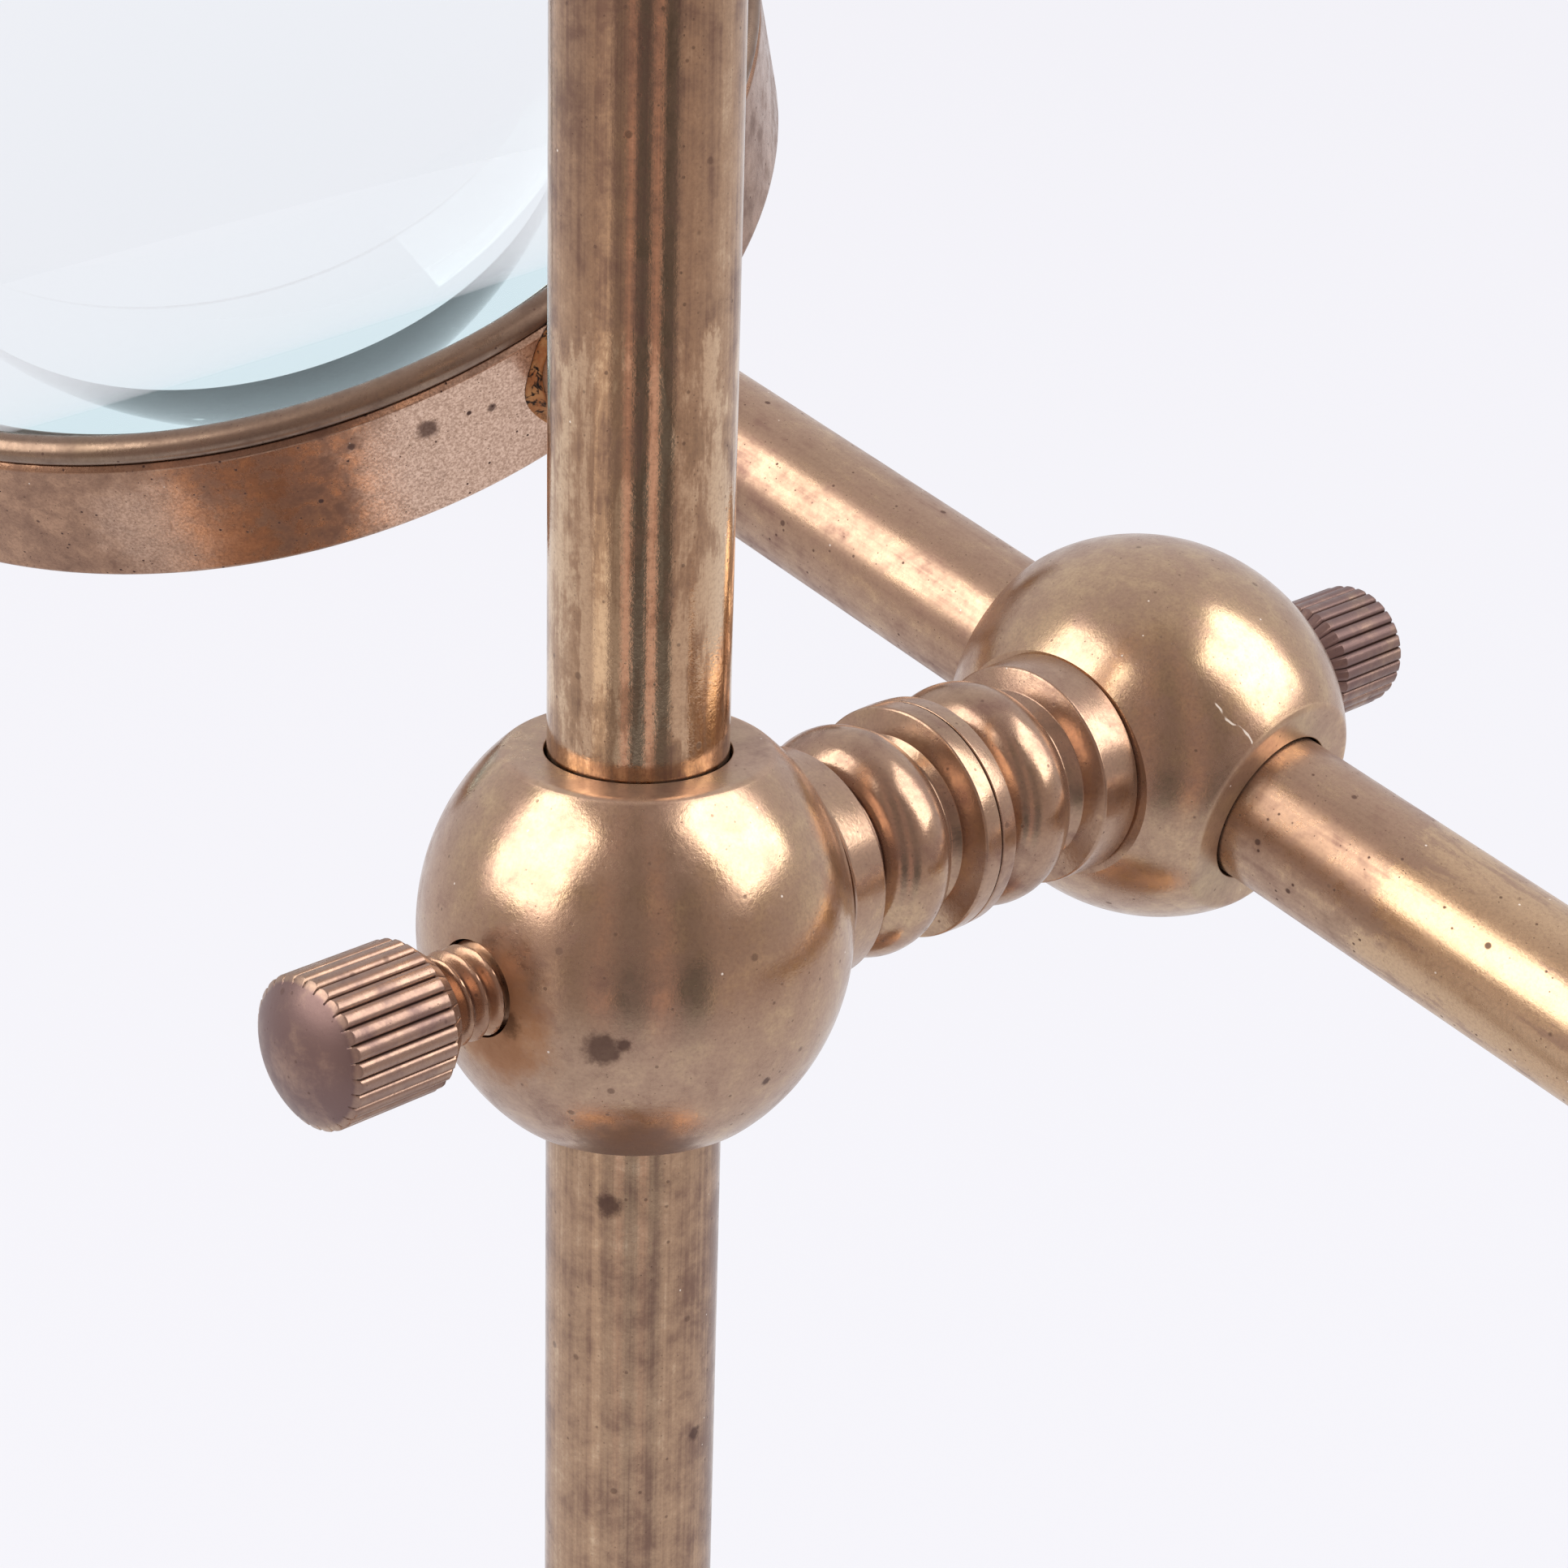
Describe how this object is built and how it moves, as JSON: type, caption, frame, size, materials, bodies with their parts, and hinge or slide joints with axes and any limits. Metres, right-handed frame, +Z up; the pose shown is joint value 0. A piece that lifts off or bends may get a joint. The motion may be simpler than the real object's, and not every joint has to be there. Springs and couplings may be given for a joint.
{
  "type": "stand magnifier",
  "caption": "Brass desk magnifier: a framed biconvex lens on a rod that slides, turns and tilts in ball clamps on an upright post with a weighted round base.",
  "frame": {"origin": "centre of the felt under the base, on the axis of the post, at the level of the table", "axes": "+Z up along the post; +Y from the ball on the post towards the ball on the arm; the arm lies parallel to the XZ plane with its lens towards -X"},
  "size_m": [0.2682, 0.1508, 0.3198],
  "materials": {
    "satin_brass": "antique satin brass with uneven brown patina and small dark spots",
    "tarnished_brass": "darker reddish-brown tarnished brass, finely speckled",
    "plain_steel": "turned steel, lightly oiled",
    "cast_iron": "rough grey casting",
    "felt": "dense dark green felt",
    "glass": "polished clear crown glass, ground edge"
  },
  "bodies": {
    "stand": {"base": "satin_brass", "base_weight": "cast_iron", "felt_pad": "felt", "base_washer": "plain_steel", "base_nut": "plain_steel", "post": "satin_brass", "post_finial": "satin_brass"},
    "post_sleeve": {"post_sleeve": "tarnished_brass"},
    "post_clamp": {"post_ball": "satin_brass", "post_retaining_ring": "satin_brass", "post_neck": "satin_brass", "swivel_screw": "plain_steel"},
    "post_pad": {"post_pad": "tarnished_brass"},
    "post_thumbscrew": {"post_screw": "satin_brass", "post_knob": "tarnished_brass"},
    "arm_clamp": {"arm_ball": "satin_brass", "arm_retaining_ring": "satin_brass", "arm_neck": "satin_brass", "swivel_washer": "plain_steel"},
    "arm_pad": {"arm_pad": "tarnished_brass"},
    "arm_thumbscrew": {"arm_screw": "satin_brass", "arm_knob": "tarnished_brass"},
    "arm_sleeve": {"arm_sleeve": "tarnished_brass"},
    "arm": {"arm_rod": "satin_brass", "arm_finial": "satin_brass", "lens_ring": "tarnished_brass", "lens_bezel": "tarnished_brass", "lens": "glass"}
  },
  "joints": [
    {"name": "post_slide", "type": "slide", "parent": "stand", "child": "post_sleeve", "axis": [0, 0, 1], "range_m": [-0.06, 0.085]},
    {"name": "post_turn", "type": "hinge", "parent": "post_sleeve", "child": "post_clamp", "pos_m": [0, 0, 0.2], "axis": [0, 0, 1], "continuous": true},
    {"name": "neck_swivel", "type": "hinge", "parent": "post_clamp", "child": "arm_clamp", "pos_m": [0, 0.0231, 0.2], "axis": [0, 1, 0], "range_deg": [-75, 45]},
    {"name": "arm_turn", "type": "hinge", "parent": "arm_clamp", "child": "arm_sleeve", "pos_m": [0, 0.0462, 0.2], "axis": [0.9667, 0, -0.256], "continuous": true},
    {"name": "arm_slide", "type": "slide", "parent": "arm_sleeve", "child": "arm", "axis": [-0.9667, 0, 0.256], "range_m": [-0.035, 0.08]},
    {"name": "post_pad_travel", "type": "slide", "parent": "post_clamp", "child": "post_pad", "axis": [0, -1, 0], "range_m": [0, 0.00318]},
    {"name": "post_thumbscrew_turn", "type": "hinge", "parent": "post_pad", "child": "post_thumbscrew", "pos_m": [0, 0, 0.2], "axis": [0, -1, 0], "range_deg": [0, 1080]},
    {"name": "arm_pad_travel", "type": "slide", "parent": "arm_clamp", "child": "arm_pad", "axis": [0, 1, 0], "range_m": [0, 0.00318]},
    {"name": "arm_thumbscrew_turn", "type": "hinge", "parent": "arm_pad", "child": "arm_thumbscrew", "pos_m": [0, 0.0462, 0.2], "axis": [0, 1, 0], "range_deg": [0, 1080]}
  ],
  "couplings": [
    {"joint": "post_thumbscrew_turn", "follows": "post_pad_travel", "rad_per_m": 5927.5},
    {"joint": "arm_thumbscrew_turn", "follows": "arm_pad_travel", "rad_per_m": 5927.5}
  ]
}
